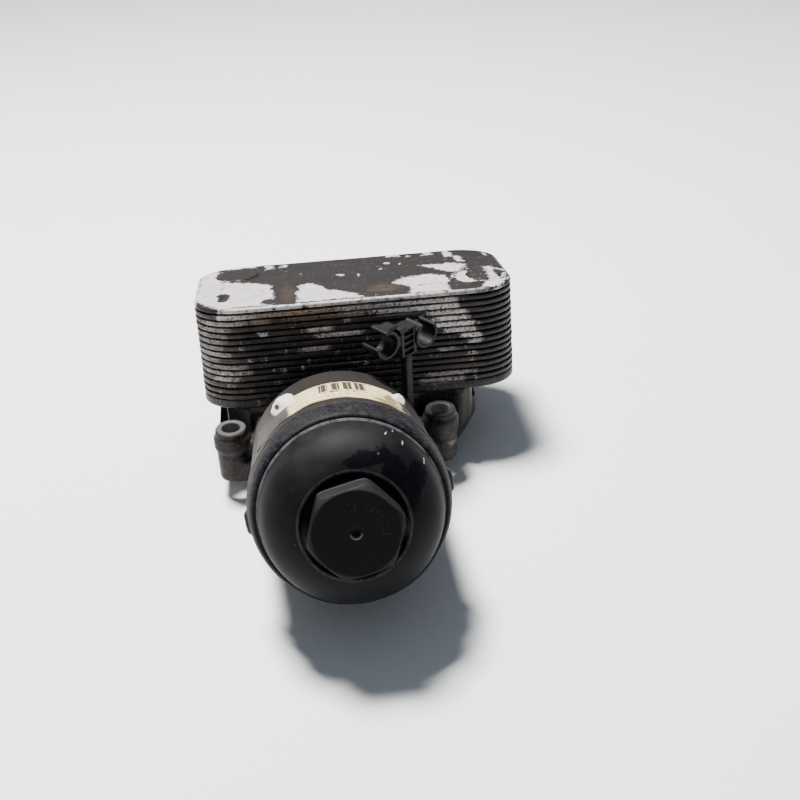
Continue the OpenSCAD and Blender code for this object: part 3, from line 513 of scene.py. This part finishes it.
def mat_sleeve():
    g = G("sleeve_steel")
    n = g.noise(2.2, 5, 0.65)
    x, y, z = g.x, g.y, g.z
    # painted light and shade: the left pair of sleeves is painted lighter and the right pair darker; the same split
    # sets the bore walls
    painted_lit_left = g.step(x, 10.0, -10.0)
    lip = g.step(z, 32.6, 33.6)
    col = g.mix(g.step(n, 0.35, 0.65), (0.018, 0.0175, 0.017), (0.040, 0.038, 0.037))
    col = g.mix(lip * 0.6, col, (0.052, 0.050, 0.049))
    col = g.mix(painted_lit_left * 0.40, col, (0.105, 0.102, 0.100))
    u, w = g.math("ABSOLUTE", x) - 47.0, g.math("ABSOLUTE", y) - 50.0
    wall = g.step(g.math("SQRT", u * u + w * w), 4.6, 4.3)
    col = g.mix(wall, col, g.mix(painted_lit_left, (0.30, 0.30, 0.31), (0.19, 0.188, 0.185)))
    return g.done(col, 0.48 + (n - 0.5) * 0.3, 0.25, g.bump(n + g.noise(0.4, 2, 0.5) * 0.4, 0.12, 0.6), 0.3)


M = {
    "cap": mat_cap(), "housing": mat_housing(), "label": mat_label(), "tag": mat_tag(), "sleeve": mat_sleeve(),
    "top": mat_top(), "rim": mat_rim(),
    "clip": simple("clip_black", (0.0022, 0.0023, 0.0028), (0.0062, 0.0064, 0.0076), 0.42, 0.60, 4.0, 0.0, 0.10, 0.5, 0.16),
    "black_rubber": simple("rubber_black", (0.010, 0.010, 0.011), (0.020, 0.020, 0.021), 0.35, 0.55, 2.5),
    "green_rubber": simple("rubber_green", (0.012, 0.060, 0.030), (0.022, 0.090, 0.045), 0.40, 0.60, 3.0),
    "inner": simple("inner_plastic", (0.030, 0.030, 0.032), (0.050, 0.050, 0.053), 0.38, 0.55, 5.0),
    "steel": simple("valve_steel", (0.42, 0.42, 0.43), (0.56, 0.56, 0.57), 0.22, 0.38, 2.0, 0.9, 0.03),
    "screw": simple("screw_zinc", (0.36, 0.36, 0.37), (0.50, 0.50, 0.50), 0.30, 0.48, 1.5, 0.85, 0.04),
    # the fins are painted near-black as painted shade between the rims
    "fin": simple("fin_painted_shade", (0.006, 0.0055, 0.0055), (0.018, 0.0165, 0.016), 0.6, 0.8, 3.0, 0.1, 0.05),
    "paper": simple("pleated_paper", (0.60, 0.42, 0.18), (0.72, 0.54, 0.27), 0.65, 0.85, 4.0, 0.0, 0.12),
}


# ------------------------------------------------------------------ geometry helpers
def new_obj(name, bm_or_me, matrix, material, body, sharp=32.0, smooth=True):
    if isinstance(bm_or_me, bmesh.types.BMesh):
        me = bpy.data.meshes.new(name)
        bm_or_me.to_mesh(me)
        bm_or_me.free()
    else:
        me = bm_or_me
    o = bpy.data.objects.new(name, me)
    bpy.context.scene.collection.objects.link(o)
    o.matrix_world = matrix
    me.materials.clear()
    me.materials.append(material)
    if smooth:
        me.shade_smooth()
        me.set_sharp_from_angle(angle=rad(sharp))
    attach(o, body)
    return o


def lathe(bm, prof, seg=256, wob=None):
    """closed profile of (r, z) in mm, turned about Z."""
    rings = []
    for i in range(seg):
        a = 2 * math.pi * i / seg
        row = []
        for r, z in prof:
            d = wob(a, r, z) if wob else 0.0
            row.append(bm.verts.new(((r + d) * math.cos(a) / 1000, (r + d) * math.sin(a) / 1000, z / 1000)))
        rings.append(row)
    n = len(prof)
    for i in range(seg):
        p, q = rings[i], rings[(i + 1) % seg]
        for k in range(n):
            k2 = (k + 1) % n
            if prof[k][0] < 1e-6 and prof[k2][0] < 1e-6:
                continue
            bm.faces.new((p[k], q[k], q[k2], p[k2]))
    bmesh.ops.remove_doubles(bm, verts=bm.verts, dist=1e-7)
    bmesh.ops.recalc_face_normals(bm, faces=bm.faces)


def spline(pts, n=6):
    """Catmull-Rom through (r, z) points, ends kept."""
    out = []
    p = [pts[0]] + list(pts) + [pts[-1]]
    for i in range(1, len(p) - 2):
        for k in range(n):
            t = k / n
            a, b, c, d = p[i - 1], p[i], p[i + 1], p[i + 2]
            out.append(tuple(0.5 * (2 * b[j] + (c[j] - a[j]) * t + (2 * a[j] - 5 * b[j] + 4 * c[j] - d[j]) * t * t
                                    + (3 * b[j] - a[j] - 3 * c[j] + d[j]) * t ** 3) for j in (0, 1)))
    out.append(tuple(pts[-1]))
    return out


def rrect_path(w, d, r, n_arc=18, n_side=40):
    """points and outward normals round a rounded rectangle, front left start, counter-clockwise."""
    pts = []
    corners = [(-w / 2 + r, r, 180), (w / 2 - r, r, 270), (w / 2 - r, d - r, 0), (-w / 2 + r, d - r, 90)]
    for ci, (cx, cy, a0) in enumerate(corners):
        for k in range(n_arc + 1):
            a = rad(a0 + 90 * k / n_arc)
            pts.append(((cx + r * math.cos(a), cy + r * math.sin(a)), (math.cos(a), math.sin(a))))
        nx, ny, na = corners[(ci + 1) % 4]
        a = rad(a0 + 90)
        s = (cx + r * math.cos(a), cy + r * math.sin(a))
        e = (nx + r * math.cos(rad(na)), ny + r * math.sin(rad(na)))
        for k in range(1, n_side):
            t = k / n_side
            pts.append(((s[0] + (e[0] - s[0]) * t, s[1] + (e[1] - s[1]) * t), (math.cos(a), math.sin(a))))
    return pts


def sweep(bm, path, prof, wob, fill_top=False, fill_bottom=False):
    rows = []
    for (p, n) in path:
        row = []
        for k, (o, z) in enumerate(prof):
            dx, dz = wob(p, z)
            row.append(bm.verts.new(((p[0] + n[0] * (o + dx)) / 1000, (p[1] + n[1] * (o + dx)) / 1000, (z + dz) / 1000)))
        rows.append(row)
    m, n = len(path), len(prof)
    closed = not (fill_top or fill_bottom)
    for i in range(m):
        p, q = rows[i], rows[(i + 1) % m]
        for k in range(n if closed else n - 1):
            k2 = (k + 1) % n
            bm.faces.new((p[k], q[k], q[k2], p[k2]))
    if fill_bottom:
        bm.faces.new([r[0] for r in reversed(rows)])
    if fill_top:
        bm.faces.new([r[-1] for r in rows])
    bmesh.ops.recalc_face_normals(bm, faces=bm.faces)


def cad_copy(name, nodes, material, voxel, smooth_it, body="housing", factor=0.5):
    """a moulded look: the CAD solids of one moulding joined, remeshed finely and eased at the edges."""
    bm = bmesh.new()
    for n in nodes:
        bm.from_mesh(NODES[n].data)
    me = bpy.data.meshes.new(name)
    bm.to_mesh(me)
    bm.free()
    o = bpy.data.objects.new(name, me)
    bpy.context.scene.collection.objects.link(o)
    r = o.modifiers.new("r", "REMESH")
    r.mode = "VOXEL"
    r.voxel_size = voxel / 1000
    s = o.modifiers.new("s", "SMOOTH")
    s.factor = factor
    s.iterations = smooth_it
    dg = bpy.context.evaluated_depsgraph_get()
    done = bpy.data.meshes.new_from_object(o.evaluated_get(dg))
    o.modifiers.clear()
    o.data = done
    done.materials.clear()
    done.materials.append(material)
    done.shade_smooth()
    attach(o, body)
    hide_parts(*nodes)
    return o


# ------------------------------------------------------------------ housing moulding
V = 0.75
housing = cad_copy("housing_moulding", ["flange_base", "cooler_pad", "filter_bowl"], M["housing"], V, 3)

clip = cad_copy("line_clip_moulding", ["line_clip"], M["clip"], 0.28, 3)

# ------------------------------------------------------------------ steel sleeves
for i, (sx, sy) in enumerate([(-47, -50), (47, -50), (-47, 50), (47, 50)]):
    bm = bmesh.new()
    lathe(bm, [(4.2, 9.5), (6.1, 9.5), (6.1, 31.6), (6.2, 32.2), (6.5, 32.6), (6.65, 33.1), (6.65, 33.6), (6.5, 34.0), (6.15, 34.25), (5.0, 34.3),
               (4.5, 34.15), (4.25, 33.8), (4.2, 33.3)], 72)
    for v in bm.verts:
        v.co.x += sx / 1000
        v.co.y += sy / 1000
    o = new_obj(f"sleeve_{i}", bm, Matrix.Identity(4), M["sleeve"], "housing")
    if i == 0:
        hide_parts("bolt_sleeves")

# ------------------------------------------------------------------ bypass spring, a steel copy of its CAD coil
spring = bpy.data.objects.new("bypass_spring_coil", NODES["bypass_spring"].data.copy())
bpy.context.scene.collection.objects.link(spring)
spring.matrix_world = NODES["bypass_spring"].matrix_world.copy()
spring.data.materials.clear()
spring.data.materials.append(M["steel"])
for p in spring.data.polygons:
    p.material_index = 0
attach(spring, "housing")
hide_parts("bypass_spring")
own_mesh(spring)

# ------------------------------------------------------------------ screw cap
dome = spline([(34.45, 11.9), (34.3, 13.6), (33.9, 16.2), (33.0, 19.3), (31.6, 22.2), (29.5, 24.9), (26.9, 27.2), (24.2, 28.9), (22.0, 29.9), (20.6, 30.35)], 6)
band = spline([(38.2, 0.15), (38.55, 0.7), (38.5, 3.0), (38.05, 6.2), (37.2, 9.2), (36.4, 10.6), (35.6, 11.0), (35.1, 11.0)], 5)
prof = ([(31.2, -18), (33.4, -18), (33.8, -17.2)]
        + [p for z in (-15.6, -11.6) for p in ((33.8, z - 1.2), (34.7, z - 0.4), (34.7, z + 0.4), (33.8, z + 1.2))]
        + [(33.8, -7.2), (34.6, -6.6), (34.6, -5.4), (31.9, -5.4), (31.9, -1.6), (34.6, -1.6), (34.6, 0.1)] + band
        + [(34.95, 11.15), (34.9, 11.45), (34.75, 11.72), (34.55, 11.85)] + dome
        + [(20.2, 30.42), (19.8, 30.35), (19.5, 30.15), (19.3, 29.8), (19.1, 28.6), (19.0, 27.4), (18.8, 26.9), (18.3, 26.7), (15.0, 26.7),
           (12.0, 26.7), (12.0, 21.2), (22.2, 21.2), (22.2, 26.1), (23.6, 25.9), (25.6, 24.3), (28.2, 21.6), (30.0, 18.6), (30.9, 15), (31.2, 11)])
bm = bmesh.new()
lathe(bm, prof, 288, lambda a, r, z: 0.05 * mn.noise(Vector((math.cos(a) * 2, math.sin(a) * 2, z * 0.05))))
cap = new_obj("cap_shell", bm, MB, M["cap"], "cap", 34)
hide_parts("filter_cap")


def hexagon():
    """hexagon head with a conical chamfer, rounded edges and a centre dimple."""
    af, turn, z0, z1 = 32.0, 13.0, 24.5, 39.0
    R = af / 2 / math.cos(rad(30))
    bm = bmesh.new()
    nseg, nz = 240, 10
    r_ch = 15.7
    rows = []
    fil = 0.9
    levels = [z0, z0 + 2, z0 + 4, z0 + 7, 35.0, 36.0, 36.6, 37.0, 37.3, 37.6, 37.85, 38.1, 38.3, 38.5, 38.65, 38.78, 38.88, 38.95, 39.0]
    for z in levels:
        row = []
        for i in range(nseg):
            a = 2 * math.pi * i / nseg
            t = ((math.degrees(a) - turn) % 60) - 30
            # rounded hexagon radius
            flat = (af / 2) / math.cos(rad(t))
            lim = R - 0.55
            k = 0.35
            rh = -math.log(math.exp(-flat / k) + math.exp(-lim / k)) * k
            rc = r_ch + (z1 - z) * 1.02
            top = 0.0
            rr = -math.log(math.exp(-rh / 0.22) + math.exp(-rc / 0.22)) * 0.22
            e = max(0.0, z - (z1 - 0.5))
            rr -= 0.5 - math.sqrt(max(0.0, 0.25 - e * e)) if e > 0 else 0.0
            row.append(bm.verts.new((rr * math.cos(a) / 1000, rr * math.sin(a) / 1000, z / 1000)))
        rows.append(row)
    for j in range(len(rows) - 1):
        for i in range(nseg):
            i2 = (i + 1) % nseg
            bm.faces.new((rows[j][i], rows[j][i2], rows[j + 1][i2], rows[j + 1][i]))
    # the face, slightly dished, down to the dimple
    last = rows[-1]
    for f, z in ((0.97, 39.0), (0.90, 38.97), (0.7, 38.93), (0.5, 38.9), (0.3, 38.88), (2.1, 38.86), (1.9, 38.8), (1.75, 38.5), (1.5, 37.4), (0.7, 37.0)):
        row = []
        for i in range(nseg):
            a = 2 * math.pi * i / nseg
            base = rows[len(levels) - 1][i].co.to_2d().length * 1000
            r = base * f if z > 38.87 else f
            row.append(bm.verts.new((r * math.cos(a) / 1000, r * math.sin(a) / 1000, z / 1000)))
        for i in range(nseg):
            i2 = (i + 1) % nseg
            bm.faces.new((last[i], last[i2], row[i2], row[i]))
        last = row
    bm.faces.new(last)
    bm.faces.new(list(reversed(rows[0])))
    bmesh.ops.recalc_face_normals(bm, faces=bm.faces)
    return bm


hexa = new_obj("cap_hexagon", hexagon(), MB, M["cap"], "cap", 40)

# ------------------------------------------------------------------ oil cooler
W, D, RC = 144.0, 76.0, 20.0
base_t, pitch_p, n_p, top_t = 4.0, 2.86, 14, 2.2
PATH = rrect_path(W, D, RC)


def wobble(seed, amt, lift):
    off = Vector((seed * 3.7, seed * 1.3, seed * 7.1))

    def f(p, z):
        v = Vector((p[0] * 0.045, p[1] * 0.045, 0)) + off
        u = Vector((p[0] * 0.22, p[1] * 0.22, 0)) + off
        return amt * (mn.noise(v) + 0.35 * mn.noise(u)), lift * mn.noise(v + Vector((9, 4, 2)))
    return f


for i in range(n_p):
    z = base_t + i * pitch_p
    bm = bmesh.new()
    sweep(bm, PATH, [(-2.2, z - 0.05), (-0.9, z - 0.05), (-0.42, z + 0.06), (-0.14, z + 0.38), (0.0, z + 0.80), (0.08, z + 1.35), (0.04, z + 1.80),
                     (-0.10, z + 2.05), (-0.32, z + 2.14), (-2.2, z + 2.14)], wobble(i + 1, 0.22, 0.10))
    o = new_obj(f"cooler_rim_{i:02d}", bm, MC, M["rim"], "housing", 50)
    if i == 0:
        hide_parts("cooler_core_plates")

# core of the pack behind the rims, painted near-black as painted shade in the gaps between the rims
bm = bmesh.new()
sweep(bm, rrect_path(W - 3.6, D - 3.6, RC - 1.8, 12, 20), [(0, base_t - 0.2), (0, base_t + n_p * pitch_p + 0.2)], lambda p, z: (0.0, 0.0), True, True)
for v in bm.verts:
    v.co.y += 0.0018
o = new_obj("cooler_core_body", bm, MC, M["fin"], "housing", 50)
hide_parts("cooler_fin_sheets")

bm = bmesh.new()
sweep(bm, PATH, [(-1.0, 0.0), (-0.35, 0.08), (-0.05, 0.4), (0.0, 0.9), (0.02, 2.4), (-0.05, 3.3), (-0.3, 3.75), (-0.9, 3.9), (-2.4, 3.9)],
      wobble(20, 0.12, 0.03), True, True)
base = new_obj("cooler_base", bm, MC, M["rim"], "housing", 50)
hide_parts("cooler_base_plate")

z = base_t + n_p * pitch_p
bm = bmesh.new()
sweep(bm, PATH, [(-1.4, z + 0.02), (-0.5, z + 0.08), (-0.12, z + 0.35), (0.05, z + 0.8), (0.06, z + 1.35), (-0.06, z + 1.8), (-0.34, z + 2.1), (-0.8, z + 2.2), (-1.6, z + 2.2),
                 (-2.4, z + 2.15)], wobble(31, 0.10, 0.05), True, True)
top = new_obj("cooler_top", bm, MC, M["top"], "housing", 50)
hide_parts("cooler_top_plate")
for i, (px, py) in enumerate([(-53.5, 59.5), (58.5, 25)]):
    bm = bmesh.new()
    h = 0.55
    lathe(bm, [(0, z + 1.5), (10.6, z + 1.5), (10.45, z + top_t + 0.02), (10.2, z + top_t + h * 0.45), (9.95, z + top_t + h * 0.85), (9.6, z + top_t + h), (7.0, z + top_t + h), (0, z + top_t + h)], 96)
    for v in bm.verts:
        v.co.x += px / 1000
        v.co.y += py / 1000
    o = new_obj(f"cooler_mark_{i}", bm, MC, M["top"], "housing", 50)

# ------------------------------------------------------------------ paper label and its loose ends
def strip_mesh(a0, a1, z0, z1, na, nz, rfun, thick=0.28):
    bm = bmesh.new()
    grid = {}
    for s in (0, 1):
        for i in range(na + 1):
            for j in range(nz + 1):
                a = a0 + (a1 - a0) * i / na
                zz = z0 + (z1 - z0) * j / nz
                x, y, zc = rfun(a, zz, i / na, j / nz)
                nx, ny = math.cos(rad(a)), math.sin(rad(a))
                grid[s, i, j] = bm.verts.new(((x + nx * thick * s) / 1000, (y + ny * thick * s) / 1000, zc / 1000))
    for s in (0, 1):
        for i in range(na):
            for j in range(nz):
                f = (grid[s, i, j], grid[s, i + 1, j], grid[s, i + 1, j + 1], grid[s, i, j + 1])
                bm.faces.new(f)
    for i in range(na):
        for j in (0, nz):
            bm.faces.new((grid[0, i, j], grid[0, i + 1, j], grid[1, i + 1, j], grid[1, i, j]))
    for j in range(nz):
        for i in (0, na):
            bm.faces.new((grid[0, i, j], grid[0, i, j + 1], grid[1, i, j + 1], grid[1, i, j]))
    bmesh.ops.recalc_face_normals(bm, faces=bm.faces)
    return bm


def label_point(a, z, u, v):
    lift = 0.05 + 0.35 * max(0.0, mn.noise(Vector((a * 0.06, z * 0.09, 3.1))))
    edge = min(u, 1 - u)
    lift += 0.5 * max(0.0, 0.05 - edge) / 0.05 * max(0.0, mn.noise(Vector((z * 0.15, a * 0.01, 7.7))) + 0.4)
    r = 38.25 + lift
    zz = z + 0.5 * mn.noise(Vector((a * 0.12, 0.0, 5.0))) * (1 if v in (0.0, 1.0) else 0)
    return r * math.cos(rad(a)), r * math.sin(rad(a)), zz


label = new_obj("bowl_label_paper", strip_mesh(47, 148, -41, -9.2, 120, 30, label_point), MB, M["label"], "housing", 50)
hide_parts("bowl_label")

# torn white scraps of the label's backing, lifted off the film of grime
def flap(name, ca, r0, cz, ru, rw, lean, seed, hole=None):
    """a torn rounded tab standing off the bowl; lean is its tilt from the wall towards the cap."""
    a = rad(ca)
    rd = Vector((math.cos(a), math.sin(a), 0))
    tn = Vector((-math.sin(a), math.cos(a), 0))
    nv = (math.cos(rad(lean)) * rd + math.sin(rad(lean)) * Vector((0, 0, 1))).normalized()
    up = nv.cross(tn)
    if up.dot(rd) < 0:
        up = -up
    c = rd * r0 + Vector((0, 0, cz))
    bm = bmesh.new()
    n, rings = 64, 10
    grid = []
    for k in range(rings + 1):
        t = k / rings
        row = []
        for i in range(n):
            b = 2 * math.pi * i / n
            e = 1.0 + 0.22 * mn.noise(Vector((math.cos(b) * 1.2 + seed, math.sin(b) * 1.2, seed))) + 0.07 * mn.noise(Vector((math.cos(b) * 5, math.sin(b) * 5, seed + 3)))
            hu, hw, hr = hole if hole else (0.0, 0.0, 0.0)
            u0, w0 = hu + hr * math.cos(b), hw + 1.25 * hr * math.sin(b)
            u = u0 + (ru * e * math.cos(b) - u0) * t
            w = w0 + (rw * e * math.sin(b) - w0) * t
            curl = -0.035 * u * u + 0.7 * mn.noise(Vector((u * 0.25, w * 0.25, seed + 9)))
            p = c + tn * u + up * w + nv * curl
            row.append([bm.verts.new(q / 1000) for q in (p, p + nv * (0.75 - 0.45 * t ** 3))])
        grid.append(row)
    for k in range(rings):
        for i in range(n):
            j = (i + 1) % n
            for q in (0, 1):
                bm.faces.new((grid[k][i][q], grid[k][j][q], grid[k + 1][j][q], grid[k + 1][i][q]))
    for i in range(n):
        j = (i + 1) % n
        bm.faces.new((grid[rings][i][0], grid[rings][j][0], grid[rings][j][1], grid[rings][i][1]))
        if hole:
            bm.faces.new((grid[0][i][0], grid[0][j][0], grid[0][j][1], grid[0][i][1]))
    bmesh.ops.remove_doubles(bm, verts=bm.verts, dist=1e-6)
    bmesh.ops.recalc_face_normals(bm, faces=bm.faces)
    o = new_obj(name, bm, MB, M["tag"], "housing", 60)
    return o


flap("label_scrap_left", 124, 39.9, -32.5, 5.5, 3.5, 48, 2.3, (2.4, 0.6, 1.0))
flap("label_scrap_right", 52.5, 39.2, -31, 2.9, 2.1, 50, 5.1)

# ------------------------------------------------------------------ the rest keeps its CAD shape
FIN = {
    "flange_gasket": "green_rubber", "cooler_seal_rings": "green_rubber", "cap_o_ring": "black_rubber", "check_disc": "black_rubber",
    "element_top_seal": "black_rubber", "element_bottom_seal": "black_rubber", "drain_pin_seal": "black_rubber",
    "standpipe": "inner", "element_top_disc": "inner", "element_bottom_disc": "inner", "element_core": "inner", "drain_pin": "inner",
    "element_pleats": "paper", "bypass_disc": "steel", "bypass_spring": "steel", "bypass_retainer": "steel", "cooler_screws": "screw",
    "flange_base": "housing", "cooler_pad": "housing", "filter_bowl": "housing", "line_clip": "clip", "bolt_sleeves": "sleeve",
    "filter_cap": "cap", "cooler_base_plate": "rim", "cooler_core_plates": "rim", "cooler_top_plate": "top", "cooler_fin_sheets": "fin",
    "bowl_label": "label",
}
for n, o in NODES.items():
    o.data.materials.clear()
    o.data.materials.append(M[FIN[n]])
    for p in o.data.polygons:
        p.material_index = 0

# ------------------------------------------------------------------ stage
g = G("floor_pale")
n = g.noise(160, 3, 0.5)
floor_mat = g.done(g.mix(n, (0.80, 0.81, 0.82), (0.83, 0.84, 0.85)), g.mixf(n, 0.55, 0.62), 0.0, None, 0.2)
bm = bmesh.new()
bmesh.ops.create_grid(bm, x_segments=1, y_segments=1, size=6.0)
me = bpy.data.meshes.new("floor")
bm.to_mesh(me)
bm.free()
floor = bpy.data.objects.new("floor", me)
bpy.context.scene.collection.objects.link(floor)
floor.location = (0, 0, -0.0002)
me.materials.append(floor_mat)

world = bpy.data.worlds.new("studio")
bpy.context.scene.world = world
world.use_nodes = True
bg = world.node_tree.nodes["Background"]
bg.inputs[0].default_value = (0.72, 0.80, 0.90, 1)
bg.inputs[1].default_value = 0.29


def area(name, loc, target, size, power, color=(1, 1, 1)):
    d = bpy.data.lights.new(name, "AREA")
    d.shape = "RECTANGLE"
    d.size, d.size_y = size
    d.energy = power
    d.color = color
    o = bpy.data.objects.new(name, d)
    bpy.context.scene.collection.objects.link(o)
    o.location = loc
    o.rotation_euler = (Vector(target) - Vector(loc)).to_track_quat("-Z", "Y").to_euler()
    return o


area("key", (-0.21, 0.24, 1.29), (0, -0.05, 0.04), (0.32, 0.32), 78.0, (1.0, 0.98, 0.955))

# ------------------------------------------------------------------ camera
yaw, pitch, roll = -0.096, 0.537, -0.044
f = Vector((-math.sin(yaw) * math.cos(pitch), math.cos(yaw) * math.cos(pitch), -math.sin(pitch)))
r = Vector((math.cos(yaw), math.sin(yaw), 0))
u = r.cross(f)
r2 = math.cos(roll) * r + math.sin(roll) * u
u2 = -math.sin(roll) * r + math.cos(roll) * u
cd = bpy.data.cameras.new("cam")
cam = bpy.data.objects.new("cam", cd)
bpy.context.scene.collection.objects.link(cam)
rot = Matrix((r2, u2, -f)).transposed().to_4x4()
cam.matrix_world = Matrix.Translation((-0.01369, -0.49310, 0.30514)) @ rot
cd.sensor_width = 36.0
cd.lens = 1158.46 / 800 * 36
cd.clip_start = 0.01
bpy.context.scene.camera = cam
